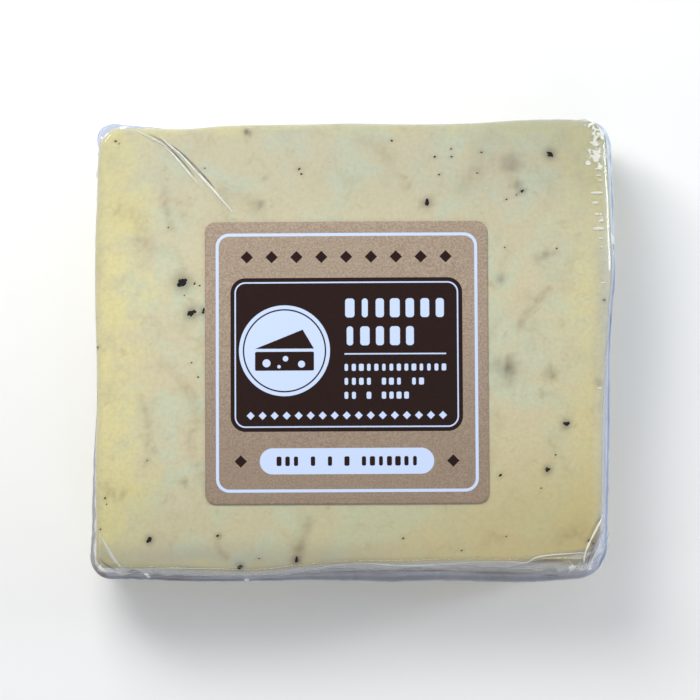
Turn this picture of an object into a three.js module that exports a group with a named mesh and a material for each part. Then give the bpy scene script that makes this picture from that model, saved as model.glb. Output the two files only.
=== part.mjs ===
// A slab of truffled goat cheese, shut in clear film with a trimmed heat seal all round, and the square paper
// label stuck on its face. Millimetres, +Z up. The origin is the middle of the slab's underside, +X is the
// slab's long side and +Y points to the top of the label.
import * as THREE from "three";
import { mergeVertices } from "three/addons/utils/BufferGeometryUtils.js";

// Slab: its height, its roundings, and the corners of its face before rounding, each with its own radius. At a
// corner the seal stands out further, as an ear.
const SLAB_HEIGHT = 24;
const CORNERS = {
  leftBack: { x: -50.9, y: 44.4, radius: 4.4, ear: 1.8 },
  rightBack: { x: 51.1, y: 45.5, radius: 4.4, ear: 0.5 },
  rightFront: { x: 50.0, y: -44.0, radius: 4.4, ear: 0.1 },
  leftFront: { x: -51.3, y: -44.6, radius: 2.4, ear: 0 },
};
const TOP_EDGE_RADIUS = 1.4;
const BOTTOM_EDGE_RADIUS = 1.2;
const HIGH_AND_LOW = 0.28; // the hand-cut face rises and falls by about this much

// The four sides, each read from one end to the other at even steps: how far the cut edge bows out of the straight
// line, how far the film stands off the cheese at the seal, and how wide the trimmed seal is
const SIDES = {
  right: {
    bow: [-0.8, -0.47, -0.2, -0.19, -0.1, 0.18, 0.5, 0.98, 1.45, 1.12, 0.8, 0.3, -0.1],
    standOff: [1.5, 1.12, 1.24, 0.8, 0.8, 0.95, 1.0],
    seal: [0.9, 0.85, 0.85, 0.65, 0.6, 0.75, 0.7],
  },
  back: {
    bow: [0, -0.27, -0.52, 0, 0.08, 0.08, 0.12, -0.15, -0.26, -0.11, 0.34, 0.38, 0],
    standOff: [1.4, 0.7, 0.5, 0.5, 0.6, 0.6, 0.8],
    seal: [0.9, 0.6, 0.5, 0.5, 0.6, 0.6, 0.6],
  },
  left: {
    bow: [0.1, -0.07, 0.07, 0.18, 0.08, 0.07, 0.25, 0.52, 0.67, 0.7, 0.45, 0.3, -0.1],
    standOff: [1.5, 1.1, 0.85, 0.6, 0.7, 0.7, 0.5],
    seal: [0.8, 0.65, 0.5, 0.4, 0.4, 0.4, 0.4],
  },
  front: {
    bow: [-0.1, -0.02, 0.35, 0.69, 0.7, -0.2, -0.85, -0.82, -1.05, -1.09, -0.8, -0.35, 0],
    standOff: [1.2, 1.2, 1.0, 1.8, 2.0, 2.1, 1.3],
    seal: [0.9, 0.97, 0.88, 1.65, 1.77, 1.8, 1.1],
  },
};

// Worn edges: each line is a stretch where the face begins to fall away, walked clockwise seen from above
const WORN_EDGES = [
  { from: [51.4, -31.6], to: [46.0, -43.6], fall: 0.75 },
  { from: [44.0, -40.6], to: [26.0, -43.4], fall: 0.7 },
  { from: [-45.8, -44.4], to: [-50.3, -37.6], fall: 0.35 },
];
const WORN_SOFTNESS = 0.6;

// Film: its seal's height up the sides, thickness at root and tip and wave, and the gathers by each corner
const SEAL_HEIGHT = 11.5;
const SEAL_ROOT = 1.5;
const SEAL_TIP = 0.7;
const SEAL_WAVE = 0.45;
const GATHER_DEPTH = 0.4;
const GATHER_PITCH = 4.6;
const GATHER_REACH = 13;

// Label
const LABEL_SIDE = 56.6;
const LABEL_THICKNESS = 0.25;
const LABEL_CORNER_RADIUS = 2.2;
const LABEL_CENTRE = { x: -1.1, y: -3.3 };
const LABEL_TURN = 0.25; // degrees, anticlockwise
const LABEL_GAP = 0.05;

// Grid lines over half a side: those that crowd toward the corner, the share they take, and the rest
const SLAB_GRID = { nearCorner: 9, share: 0.28, crowding: 1.6 };
const LABEL_GRID = { nearCorner: 3, share: (2 * LABEL_CORNER_RADIUS) / LABEL_SIDE, crowding: 1 };
const SLAB_LINES_X = 32;
const SLAB_LINES_Y = 30;
const LABEL_LINES = 16;

const CHEESE_COLOUR = 0xd8d0a2;
const PAPER_COLOUR = 0xa9978a;

const { lerp, clamp } = THREE.MathUtils;
const HALF_X = (CORNERS.rightBack.x - CORNERS.leftBack.x) / 2;
const HALF_Y = (CORNERS.rightBack.y - CORNERS.rightFront.y) / 2;

// A smooth reading of evenly spaced values, at t from 0 to 1
function smoothRead(values, t) {
  const curve = new THREE.SplineCurve(values.map((value, i) => new THREE.Vector2(i, value)));
  return curve.getPoint(clamp(t, 0, 1)).y;
}

// How far a worn edge has fallen below the face at a point
function wornFall({ from, to, fall }, x, y) {
  const length = Math.hypot(to[0] - from[0], to[1] - from[1]);
  const beyond = ((x - from[0]) * (from[1] - to[1]) + (y - from[1]) * (to[0] - from[0])) / length;
  return beyond > 0 ? (fall * beyond * beyond) / (beyond + WORN_SOFTNESS) : 0;
}

// The height of the hand-cut face
function faceHeight(x, y) {
  const slow = Math.cos(x / 21 + 0.6) * Math.cos(y / 18 - 0.4);
  const quick = Math.sin(x / 9.5 + y / 13) * Math.sin(y / 8 - x / 26);
  const fallen = Math.max(...WORN_EDGES.map((edge) => wornFall(edge, x, y)));
  return SLAB_HEIGHT + HIGH_AND_LOW * (slow + 0.35 * quick - 0.4) - fallen;
}

// Turns each corner of the square from -1 to 1 into a quarter disc, and tells the way outward there
function roundCorners(u, v, shareX, shareY) {
  const cornerX = Math.max(0, Math.abs(u) - 1 + shareX) / shareX;
  const cornerY = Math.max(0, Math.abs(v) - 1 + shareY) / shareY;
  const outward = new THREE.Vector2(Math.sign(u) * cornerX, Math.sign(v) * cornerY).normalize();
  const inCorner = cornerX > 0 && cornerY > 0;
  const pull = inCorner ? Math.max(cornerX, cornerY) / Math.hypot(cornerX, cornerY) : 1;
  const roundU = inCorner ? Math.sign(u) * (1 - shareX + cornerX * pull * shareX) : u;
  const roundV = inCorner ? Math.sign(v) * (1 - shareY + cornerY * pull * shareY) : v;
  return { roundU, roundV, outward };
}

function cornerToward(x, y) {
  return CORNERS[(x > 0 ? "right" : "left") + (y > 0 ? "Back" : "Front")];
}

// The point of the slab's plan at (u, v), each from -1 to 1, with its rounded corners and bowed edges
function slabPlan(u, v) {
  const { radius } = cornerToward(u, v);
  const { roundU, roundV, outward } = roundCorners(u, v, radius / HALF_X, radius / HALF_Y);
  const s = (roundU + 1) / 2;
  const t = (roundV + 1) / 2;
  const { leftBack, rightBack, rightFront, leftFront } = CORNERS;
  const fade = (share) => share ** 5;
  const x = lerp(lerp(leftFront.x, rightFront.x, s), lerp(leftBack.x, rightBack.x, s), t)
    + smoothRead(SIDES.right.bow, t) * fade(s) - smoothRead(SIDES.left.bow, t) * fade(1 - s);
  const y = lerp(lerp(leftFront.y, rightFront.y, s), lerp(leftBack.y, rightBack.y, s), t)
    + smoothRead(SIDES.back.bow, s) * fade(t) - smoothRead(SIDES.front.bow, s) * fade(1 - t);
  return { x, y, outward, s, t };
}

// A value that each side lists, read on the outline
function onOutline(name, { outward, s, t }) {
  const sideX = outward.x > 0 ? SIDES.right : SIDES.left;
  const sideY = outward.y > 0 ? SIDES.back : SIDES.front;
  return outward.x ** 2 * smoothRead(sideX[name], t) + outward.y ** 2 * smoothRead(sideY[name], s);
}

// How much further the seal stands out at a corner
function earOut({ outward }) {
  return 4 * outward.x ** 2 * outward.y ** 2 * cornerToward(outward.x, outward.y).ear;
}

// How far the film is pushed in and out by the gathers that run down the sides beside each corner
function gather({ x, y, outward }) {
  const fromCorner = Math.abs(outward.x) > Math.abs(outward.y) ? HALF_Y - Math.abs(y) : HALF_X - Math.abs(x);
  const strength = Math.exp(-((fromCorner / GATHER_REACH) ** 2));
  return GATHER_DEPTH * strength * Math.cos((2 * Math.PI * fromCorner) / GATHER_PITCH);
}

// The film's side at a point of the outline, as [out, z], from the face's edge out to the seal and back below
function filmSide(plan) {
  const standOff = onOutline("standOff", plan);
  const tip = standOff + onOutline("seal", plan) + earOut(plan);
  const fold = gather(plan);
  const wave = Math.sin((plan.x - plan.y) / 5.2) + 0.6 * Math.sin((plan.x + plan.y) / 3.4);
  const middle = SEAL_HEIGHT + SEAL_WAVE * wave;
  const upper = (share) => lerp(faceHeight(plan.x, plan.y) - TOP_EDGE_RADIUS, middle + SEAL_ROOT / 2, share);
  const lower = (share) => lerp(BOTTOM_EDGE_RADIUS, middle - SEAL_ROOT / 2, share);
  return [
    [0, upper(0)],
    [standOff * 0.4 + fold * 0.5, upper(0.34)],
    [standOff * 0.72 + fold, upper(0.7)],
    [standOff, upper(1)],
    [tip, middle + SEAL_TIP / 2],
    [tip, middle - SEAL_TIP / 2],
    [standOff * 0.95, lower(1)],
    [standOff * 0.4 + fold * 0.6, lower(0.45)],
    [0, lower(0)],
  ];
}

// A grid line's place from -1 to 1, with the lines crowded toward both ends
function gridLine(index, lines, { nearCorner, share, crowding }) {
  const fromEnd = Math.min(index, lines - index);
  const near = share * (Math.min(fromEnd, nearCorner) / nearCorner) ** crowding;
  const further = (1 - share) * (Math.max(0, fromEnd - nearCorner) / (lines / 2 - nearCorner));
  return (index < lines / 2 ? -1 : 1) * (1 - near - further);
}

// The share, from -1 to 1, of the grid line nearest to a coordinate of an even grid
function crowded(coordinate, lines, grid) {
  return gridLine(Math.round(((coordinate + 1) / 2) * lines), lines, grid);
}

function onlyPositions(geometry) {
  geometry.deleteAttribute("normal");
  geometry.deleteAttribute("uv");
  return geometry;
}

// The drop of a rounded edge, at a distance in from the outline
function roundedDrop(radius, inFromEdge) {
  const over = clamp(radius - inFromEdge, 0, radius);
  return radius - Math.sqrt(radius * radius - over * over);
}

// The cheese in its film: an even box whose grid is laid over the face, the film's sides and the underside
function wrappedCheese() {
  const rows = filmSide(slabPlan(1, 0)).length - 1;
  const box = new THREE.BoxGeometry(2, 2, 2, SLAB_LINES_X, SLAB_LINES_Y, rows);
  const geometry = mergeVertices(onlyPositions(box), 1e-4);
  const place = geometry.attributes.position;
  for (let i = 0; i < place.count; i++) {
    const u = crowded(place.getX(i), SLAB_LINES_X, SLAB_GRID);
    const v = crowded(place.getY(i), SLAB_LINES_Y, SLAB_GRID);
    const plan = slabPlan(u, v);
    const inFromEdge = Math.min((1 - Math.abs(u)) * HALF_X, (1 - Math.abs(v)) * HALF_Y);
    if (inFromEdge < 1e-6) {
      const [out, z] = filmSide(plan)[Math.round(((1 - place.getZ(i)) / 2) * rows)];
      place.setXYZ(i, plan.x + plan.outward.x * out, plan.y + plan.outward.y * out, z);
    } else if (place.getZ(i) > 0) {
      place.setXYZ(i, plan.x, plan.y, faceHeight(plan.x, plan.y) - roundedDrop(TOP_EDGE_RADIUS, inFromEdge));
    } else {
      place.setXYZ(i, plan.x, plan.y, roundedDrop(BOTTOM_EDGE_RADIUS, inFromEdge));
    }
  }
  return geometry;
}

// The label: a rounded square of paper that lies on the wrapped face and follows it
function paperLabel() {
  const box = new THREE.BoxGeometry(2, 2, 2, LABEL_LINES, LABEL_LINES, 1);
  const geometry = mergeVertices(onlyPositions(box), 1e-4);
  const place = geometry.attributes.position;
  const turn = THREE.MathUtils.degToRad(LABEL_TURN);
  for (let i = 0; i < place.count; i++) {
    const u = crowded(place.getX(i), LABEL_LINES, LABEL_GRID);
    const v = crowded(place.getY(i), LABEL_LINES, LABEL_GRID);
    const { roundU, roundV } = roundCorners(u, v, LABEL_GRID.share, LABEL_GRID.share);
    const flat = new THREE.Vector2(roundU, roundV).multiplyScalar(LABEL_SIDE / 2);
    const { x, y } = flat.rotateAround(new THREE.Vector2(), turn).add(LABEL_CENTRE);
    const lift = place.getZ(i) > 0 ? LABEL_THICKNESS : 0;
    place.setXYZ(i, x, y, faceHeight(x, y) + LABEL_GAP + lift);
  }
  return geometry;
}

function piece(name, geometry, colour, roughness) {
  geometry.computeVertexNormals();
  const material = new THREE.MeshStandardMaterial({ color: colour, roughness, metalness: 0, flatShading: true });
  const mesh = new THREE.Mesh(geometry, material);
  mesh.name = name;
  return mesh;
}

const group = new THREE.Group();
group.add(piece("wrapped_cheese", wrappedCheese(), CHEESE_COLOUR, 0.3));
group.add(piece("label", paperLabel(), PAPER_COLOUR, 0.8));

export default group;
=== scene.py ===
"""A slab of truffled goat cheese in clear heat-sealed film, with a square paper label, lying on a pale floor.

Shapes are worked out in millimetres, with the origin in the middle of the slab's underside, and are scaled to
metres as each piece is finished.
"""
import math
import random

import bmesh
import bpy
from mathutils import Matrix, Vector, noise


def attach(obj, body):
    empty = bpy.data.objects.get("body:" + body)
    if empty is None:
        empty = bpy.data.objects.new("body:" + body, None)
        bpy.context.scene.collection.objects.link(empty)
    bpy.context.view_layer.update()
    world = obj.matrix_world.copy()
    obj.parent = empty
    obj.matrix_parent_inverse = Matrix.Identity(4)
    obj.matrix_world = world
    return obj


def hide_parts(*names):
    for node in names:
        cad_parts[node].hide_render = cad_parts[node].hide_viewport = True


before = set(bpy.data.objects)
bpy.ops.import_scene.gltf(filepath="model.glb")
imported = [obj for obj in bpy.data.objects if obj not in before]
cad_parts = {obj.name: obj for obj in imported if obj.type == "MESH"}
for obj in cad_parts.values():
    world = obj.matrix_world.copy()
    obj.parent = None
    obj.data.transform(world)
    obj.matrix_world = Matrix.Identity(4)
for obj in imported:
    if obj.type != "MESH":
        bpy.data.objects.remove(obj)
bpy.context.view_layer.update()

MM = 0.001

# Slab: height, roundings, and the face's corners before rounding: x, y, radius and reach of the seal's ear
SLAB_HEIGHT = 24.0
CORNERS = {
    "left back": (-50.9, 44.4, 4.4, 1.8),
    "right back": (51.1, 45.5, 4.4, 0.5),
    "right front": (50.0, -44.0, 4.4, 0.1),
    "left front": (-51.3, -44.6, 2.4, 0),
}
TOP_EDGE_RADIUS = 1.4
BOTTOM_EDGE_RADIUS = 1.2
HIGH_AND_LOW = 0.28

# The four sides, read at even steps: bow of the cut edge, stand-off of the film at the seal, and seal width
BOW = {
    "right": (-0.8, -0.47, -0.2, -0.19, -0.1, 0.18, 0.5, 0.98, 1.45, 1.12, 0.8, 0.3, -0.1),
    "back": (0, -0.27, -0.52, 0, 0.08, 0.08, 0.12, -0.15, -0.26, -0.11, 0.34, 0.38, 0),
    "left": (0.1, -0.07, 0.07, 0.18, 0.08, 0.07, 0.25, 0.52, 0.67, 0.7, 0.45, 0.3, -0.1),
    "front": (-0.1, -0.02, 0.35, 0.69, 0.7, -0.2, -0.85, -0.82, -1.05, -1.09, -0.8, -0.35, 0),
}
STAND_OFF = {
    "right": (1.5, 1.12, 1.24, 0.8, 0.8, 0.95, 1.0),
    "back": (1.4, 0.7, 0.5, 0.5, 0.6, 0.6, 0.8),
    "left": (1.5, 1.1, 0.85, 0.6, 0.7, 0.7, 0.5),
    "front": (1.2, 1.2, 1.0, 1.8, 2.0, 2.1, 1.3),
}
SEAL = {
    "right": (0.9, 0.85, 0.85, 0.65, 0.6, 0.75, 0.7),
    "back": (0.9, 0.6, 0.5, 0.5, 0.6, 0.6, 0.6),
    "left": (0.8, 0.65, 0.5, 0.4, 0.4, 0.4, 0.4),
    "front": (0.9, 0.97, 0.88, 1.65, 1.77, 1.8, 1.1),
}

# Worn edges: from, to and how steeply the face falls away beyond the line, walked clockwise seen from above
WORN_EDGES = (
    ((51.4, -31.6), (46.0, -43.6), 0.75),
    ((44.0, -40.6), (26.0, -43.4), 0.7),
    ((-45.8, -44.4), (-50.3, -37.6), 0.35),
)
WORN_SOFTNESS = 0.6

# Film
SEAL_HEIGHT = 11.5
SEAL_ROOT = 1.5
SEAL_WAVE = 0.45
SEAL_THICKNESS = 0.16
SEAL_SHARE = 0.12
GATHER_DEPTH = 0.4
GATHER_PITCH = 4.6
GATHER_REACH = 13.0
FILM_TO_CHEESE = 0.12
WRINKLE_DEPTH = 0.5

# Creases raised in the film: points along each in plan, half width, height above the film, how milky it is,
# which is how strongly its painted colour shows, and its painted light tone, from -1 for a painted dusky
# brown shadow line beside a fold over 0 for the film's lavender grey and 0.5 for a painted sky-blue
# reflection to 1 for a creamy white painted highlight
CREASES = (
    (((-44.2, 44.0), (-41.8, 42.7), (-38.5, 41.0), (-36.0, 39.3)), 0.22, 0.2, 0.45, 0.8),
    (((-38.6, 42.4), (-36.9, 40.6), (-34.4, 38.6), (-30.8, 34.5), (-28.7, 32.1)), 0.19, 0.34, 0.7, 1.0),
    (((-30.9, 34.9), (-28.6, 32.3), (-26.1, 29.4), (-23.9, 26.9)), 0.2, 0.34, 0.8, 1.0),
    (((-37.8, 40.3), (-36.1, 38.8), (-34.4, 36.8), (-32.6, 34.6), (-30.8, 32.5)), 0.16, 0.28, 0.75, 1.0),
    (((-41.0, 42.9), (-38.1, 41.4), (-36.3, 39.6), (-33.8, 36.9), (-31.6, 34.2)), 0.16, 0.1, 0.22, -1.0),
    (((-36.4, 40.7), (-33.7, 38.4), (-30.2, 34.8), (-27.6, 31.8)), 0.2, 0.1, 0.26, -1.0),
    (((51.5, -31.4), (49.5, -34.9), (47.9, -37.9), (47.0, -39.7), (46.3, -41.7), (46.2, -43.4)),
     0.2, 0.26, 0.8, 1.0),
    (((51.9, -34.6), (50.2, -38.0), (48.6, -41.0), (47.5, -43.8), (47.2, -45.0)), 0.11, 0.12, 0.5, 0.9),
    (((52.2, -37.0), (50.8, -40.2), (49.4, -42.8), (48.4, -45.0)), 0.13, 0.12, 0.5, 0.5),
    (((52.4, -38.8), (51.4, -41.4), (50.2, -43.8), (49.4, -45.2)), 0.1, 0.12, 0.5, 0.9),
    (((50.9, -34.2), (49.2, -37.6), (47.8, -40.6), (46.9, -43.6)), 0.16, 0.06, 0.35, -0.8),
    (((-19.4, -46.3), (-14.4, -45.8), (-10.4, -45.1), (-6.4, -44.2), (-2.4, -43.6), (1.6, -43.5)),
     0.11, 0.12, 0.5, 0.8),
    (((0.4, -43.5), (3.6, -43.4), (9.6, -43.8), (15.6, -43.7), (20.6, -43.4), (25.6, -42.9)),
     0.13, 0.14, 0.7, 0.9),
    (((24.6, -42.9), (31.6, -43.0), (34.6, -43.2), (36.6, -42.2), (39.6, -41.7), (43.6, -41.4),
      (46.6, -41.1)), 0.15, 0.2, 0.75, 0.9),
    (((-9.0, -46.0), (-4.0, -45.1), (9.6, -44.9), (20.2, -45.0)), 0.13, 0.05, 0.45, -0.8),
    (((19.0, -45.0), (29.6, -45.3), (36.0, -45.6), (41.8, -45.9)), 0.13, 0.05, 0.45, -0.8),
    (((31.4, -44.3), (35.0, -43.6), (38.6, -43.0), (42.4, -43.0)), 0.3, 0.08, 0.35, -0.8),
    (((-44.0, -45.6), (-36.0, -45.8), (-28.0, -46.2), (-18.0, -46.6)), 0.1, 0.1, 0.4, 0.5),
    (((-50.0, -38.2), (-48.6, -40.6), (-47.4, -42.6), (-46.0, -44.3)), 0.34, 0.08, 0.3, 0.95),
    (((-50.4, -42.4), (-48.6, -44.0), (-46.2, -45.0), (-42.6, -45.3)), 0.16, 0.12, 0.4, -0.8),
    (((43.0, -42.7), (44.2, -43.8), (45.0, -44.4)), 0.13, 0.18, 0.6, 0.9),
    (((45.6, -43.1), (44.4, -44.3), (43.6, -45.3)), 0.12, 0.2, 0.7, 0.9),
    (((43.6, -43.9), (42.8, -44.8), (42.3, -45.6)), 0.12, 0.2, 0.7, 0.9),
    (((-44.0, -44.6), (-38.0, -44.3), (-30.0, -44.4), (-22.0, -44.2)), 0.09, 0.08, 0.4, 0.8),
    (((-42.2, -44.6), (-41.2, -45.2), (-40.6, -46.0)), 0.14, 0.14, 0.5, 0.9),
    (((-31.9, -44.6), (-32.2, -45.4), (-32.3, -46.0)), 0.14, 0.14, 0.5, 0.9),
)

# Ripples at the right edge, raised and painted creamy white as highlights: place along the side, inner end,
# outer end and half width
RIPPLES = (
    (30.7, 47.8, 50.3, 0.26), (28.7, 48.1, 49.4, 0.3), (26.4, 48.6, 49.6, 0.22), (25.1, 49.4, 50.4, 0.25),
    (23.5, 48.2, 50.5, 0.32), (35.5, 48.6, 49.9, 0.16), (34.2, 48.9, 50.0, 0.14), (33.2, 49.3, 50.1, 0.14),
    (21.5, 49.4, 50.3, 0.16), (19.8, 49.5, 50.3, 0.14), (12.6, 49.6, 50.6, 0.15), (-8.5, 48.9, 50.0, 0.16),
)
RIPPLE_HEIGHT = 0.16
# How strongly the ripples' painted highlight shows
RIPPLE_PAINTED_HIGHLIGHT = 0.62

# Painted glints, creamy white patches where the film is crumpled and catches the light: x, y and reach
GLINTS = (
    (49.2, 42.8, 1.7), (49.0, 38.4, 1.8), (48.6, 40.6, 0.9), (47.7, 44.6, 0.9), (47.6, 36.6, 0.8),
    (49.8, 35.6, 0.8), (53.0, 22.6, 1.2), (52.8, 20.6, 0.9), (49.9, 25.2, 0.8), (-49.8, 43.0, 0.8),
    (-46.2, 44.4, 0.8), (-51.2, 43.4, 0.8), (-50.4, -44.2, 0.7), (-41.7, -45.8, 0.5), (-21.9, -46.8, 0.4),
    (48.0, -44.4, 0.6), (44.0, -44.2, 0.7),
)

# How milky the slack film is by place, which is also how strongly its painted sky-blue reflection at the
# right and the back left ear and its painted dusky shade at the front show, and where its front and its back
# left ear are
MILK_ANYWHERE = 0.13
MILK_AND_REFLECTION_RIGHT = 0.45
MILK_AND_REFLECTION_EAR = 0.6
MILK_AND_SHADE_FRONT = 0.25
MILK_SEAL = 0.4
FRONT_FILM = (-43.0, -44.5)
EAR_PLACE = (-51.5, 45.0)

# Truffle flecks that show: x, y, length, width, turn in degrees and brownness
FLECKS = (
    (-34.0, 12.8, 2.3, 1.7, 20, 0), (-31.6, 12.6, 0.7, 0.45, 60, 1), (-30.6, 12.2, 0.5, 0.35, 0, 1),
    (-32.1, 6.6, 2.0, 1.2, 40, 0), (-29.8, 7.1, 1.2, 0.5, 80, 0), (-33.6, 10.2, 0.35, 0.3, 0, 1),
    (39.8, 38.6, 1.35, 1.25, 0, 0), (15.1, 28.8, 1.6, 0.75, 85, 0), (34.2, 31.2, 1.0, 0.45, 45, 0),
    (33.0, 30.4, 0.4, 0.3, 40, 1), (31.0, 29.5, 0.45, 0.35, 0, 0), (16.6, 38.1, 0.55, 0.45, 20, 0),
    (17.5, 34.5, 0.45, 0.4, 0, 0), (19.9, 39.7, 0.45, 0.3, 60, 1), (20.0, 38.1, 0.5, 0.3, 0, 0),
    (26.0, 39.0, 0.6, 0.4, 0, 1), (25.1, 34.8, 0.4, 0.35, 0, 1), (8.0, 41.4, 0.6, 0.45, 0, 1),
    (-10.6, 35.7, 0.75, 0.55, 30, 1), (-10.2, 34.7, 0.5, 0.4, 0, 0), (-29.6, 35.9, 0.4, 0.4, 0, 1),
    (-40.4, -38.7, 1.35, 0.75, 52, 0), (-26.8, -37.9, 0.65, 0.5, 15, 0), (-22.3, -44.0, 1.1, 0.8, 30, 0),
    (-11.1, -42.7, 1.4, 0.7, 80, 0), (-18.5, -42.4, 0.45, 0.3, 0, 1), (10.2, -38.4, 0.55, 0.45, 40, 1),
    (21.8, -40.8, 0.5, 0.3, 20, 0), (42.7, -15.6, 1.3, 1.05, 10, 0), (39.0, -24.7, 1.15, 1.0, 0, 0),
    (29.6, -25.8, 0.8, 0.6, 30, 0), (40.6, -21.8, 0.4, 0.3, 0, 0), (37.7, -28.4, 0.4, 0.3, 0, 0),
    (47.2, -38.9, 0.65, 0.6, 0, 0), (48.0, -39.4, 0.35, 0.3, 0, 1), (41.0, 19.6, 0.45, 0.35, 0, 0),
    (30.6, 19.8, 0.4, 0.3, 30, 0), (-47.6, 41.4, 0.5, 0.4, 0, 1), (-46.9, 40.9, 0.3, 0.25, 0, 1),
    (-36.9, 23.9, 0.45, 0.35, 70, 1), (-49.3, -30.4, 0.55, 0.4, 60, 1), (-49.0, -31.6, 0.4, 0.3, 20, 1),
    (-50.2, -36.6, 0.4, 0.4, 0, 0), (-32.1, -3.3, 0.4, 0.3, 0, 0), (-30.8, -6.2, 0.45, 0.35, 0, 0),
    (-29.0, -14.7, 0.45, 0.35, 0, 1), (-40.9, -22.9, 0.3, 0.25, 0, 1), (30.7, -38.0, 0.4, 0.3, 0, 1),
    (50.5, 9.2, 0.6, 0.4, 0, 1), (-50.9, -0.2, 0.6, 0.5, 0, 1),
)
# Flecks sunk below the surface, which only show as a grey blur: x, y, radius and strength
SUNK_FLECKS = (
    (32.2, 36.7, 2.6, 0.3), (33.2, 32.4, 1.2, 0.5), (31.3, -4.5, 2.0, 0.55), (29.0, -3.5, 1.6, 0.3),
    (-18.3, 28.5, 1.0, 0.5), (-21.2, 43.3, 0.8, 0.8), (29.9, 13.5, 1.0, 0.45), (39.9, -5.7, 1.4, 0.3),
    (49.4, -7.3, 0.9, 0.5), (-33.4, -27.4, 0.8, 0.5), (-10.8, -40.6, 1.8, 0.25), (-17.6, 33.8, 0.7, 0.3),
    (38.7, 18.2, 1.1, 0.3), (-40.9, -23.0, 0.6, 0.4),
)
# Soft brownish seams in the paste: points along each, half width and strength
SEAMS = (
    (((-37.8, 31.0), (-37.2, 27.0), (-36.2, 23.6)), 0.8, 0.35),
    (((-42.2, -11.2), (-40.8, -14.8), (-41.0, -19.4), (-39.6, -21.0)), 0.9, 0.3),
    (((-49.0, -28.0), (-47.0, -30.2), (-45.6, -29.2)), 1.0, 0.35),
    (((-33.0, -8.0), (-31.0, -14.0), (-32.4, -20.0), (-29.4, -27.0)), 1.1, 0.3),
    (((-26.4, -37.6), (-26.8, -40.4), (-25.0, -42.0)), 0.6, 0.45),
    (((-11.0, -42.6), (-9.8, -38.8), (-8.4, -34.8)), 0.9, 0.5),
    (((9.6, 34.6), (11.0, 33.6), (11.8, 31.8)), 0.3, 0.4),
    (((31.4, -2.0), (31.2, -5.0), (32.4, -8.0)), 0.5, 0.45),
    (((39.6, -3.6), (39.9, -5.8), (41.0, -6.6)), 0.35, 0.5),
    (((33.4, 3.8), (35.6, 7.4), (39.4, 11.4)), 0.8, 0.4),
    (((37.2, 17.2), (38.6, 18.4), (41.4, 18.6)), 0.5, 0.3),
    (((41.8, -38.4), (44.6, -37.2), (48.0, -39.2)), 1.8, 0.3),
    (((26.6, -39.4), (27.6, -37.6), (29.6, -38.6)), 0.9, 0.25),
    (((22.4, 32.0), (26.8, 37.0), (31.8, 36.6)), 1.8, 0.25),
    (((-26.0, 31.4), (-21.8, 30.0), (-19.4, 27.0)), 1.6, 0.2),
    (((1.0, 42.0), (4.6, 40.2), (7.4, 37.6)), 1.2, 0.22),
    (((-46.4, 27.4), (-43.0, 25.6), (-42.0, 20.0)), 2.0, 0.22),
)
FLECK_SEED = 7
FLECKS_PER_SIDE = 16
FLECKS_BELOW = 46

# Label
LABEL_SIDE = 56.6
LABEL_THICKNESS = 0.25
LABEL_CORNER_RADIUS = 2.2
LABEL_CENTRE = (-1.1, -3.3)
LABEL_TURN = math.radians(0.25)
LABEL_GAP = 0.05
LABEL_RIM = 1.4
LABEL_RIM_SHARE = 0.4

# The label's print, each box as its middle, half sides and corner radius
BORDER = (0.05, 0.05, 26.2, 25.95, 2.7)
PANEL = (0.0, 1.6, 23.2, 15.4, 3.0)
PLATE = (0.0, -19.7, 17.4, 2.6, 2.6)
EMBLEM_CENTRE = (-12.4, 2.4)
EMBLEM_RADIUS = 9.1
EMBLEM_RING = 8.2
WEDGE_HOLES = ((-3.6, -2.5, 0.8), (0.2, -1.6, 0.55), (3.4, -2.7, 0.7), (-1.1, -3.2, 0.35))
LOZENGE_ROW = 21.2
LOZENGE_BESIDE = 21.2
LOZENGE_HALF = 1.25
# Rows of bars: middle, half height, start, end, count, seed and the share left out
HEADING = ((10.9, 1.9, -0.8, 20.2, 7, 3.0, 0.0), (5.3, 1.9, -0.8, 14.2, 5, 12.0, 0.0))
SMALL_ROWS = (
    (-1.0, 0.7, -0.8, 20.2, 14, 41.0, 0.16),
    (-3.8, 0.7, -0.8, 18.7, 13, 52.0, 0.16),
    (-6.6, 0.7, -0.8, 12.7, 9, 67.0, 0.16),
)
PLATE_ROW = (PLATE[1], 0.95, -14.4, 14.4, 17, 94.0, 0.12)

# Grids: lines along x, y and up, how many crowd toward each end and how strongly, and over what share
CHEESE_GRID = ((180, 160, 20), 42, 1.25)
FILM_GRID = ((150, 132, 46), 44, 1.3)
NEAR_SHARE = 0.28
LABEL_GRID = ((64, 64, 2), 6, 1.0)
RIDGE_GRID = (4, 4)

# Camera and room
LENS = 150
SENSOR = 36
VIEW_WIDTH = 140
CAMERA_TARGET = (-0.4, -0.8, SLAB_HEIGHT)
CAMERA_LEAN = (4, 1, 0)
LAMPS_AIM = (0, 0, 0.015)
ROOM_COLOUR = (0.93, 0.96, 1.0, 1.0)
ROOM_STRENGTH = 0.42
FLOOR_SIZE = 4000
FLOOR_TONES = ((0.94, 0.94, 0.94, 1), (0.96, 0.96, 0.96, 1))

HALF_X = (CORNERS["right back"][0] - CORNERS["left back"][0]) / 2
HALF_Y = (CORNERS["right back"][1] - CORNERS["right front"][1]) / 2


# Small sums

def lerp(a, b, share):
    return a + (b - a) * share


def clamp(value, low=0.0, high=1.0):
    return max(low, min(high, value))


def smooth_step(low, high, value):
    share = clamp((value - low) / (high - low))
    return share * share * (3 - 2 * share)


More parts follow.
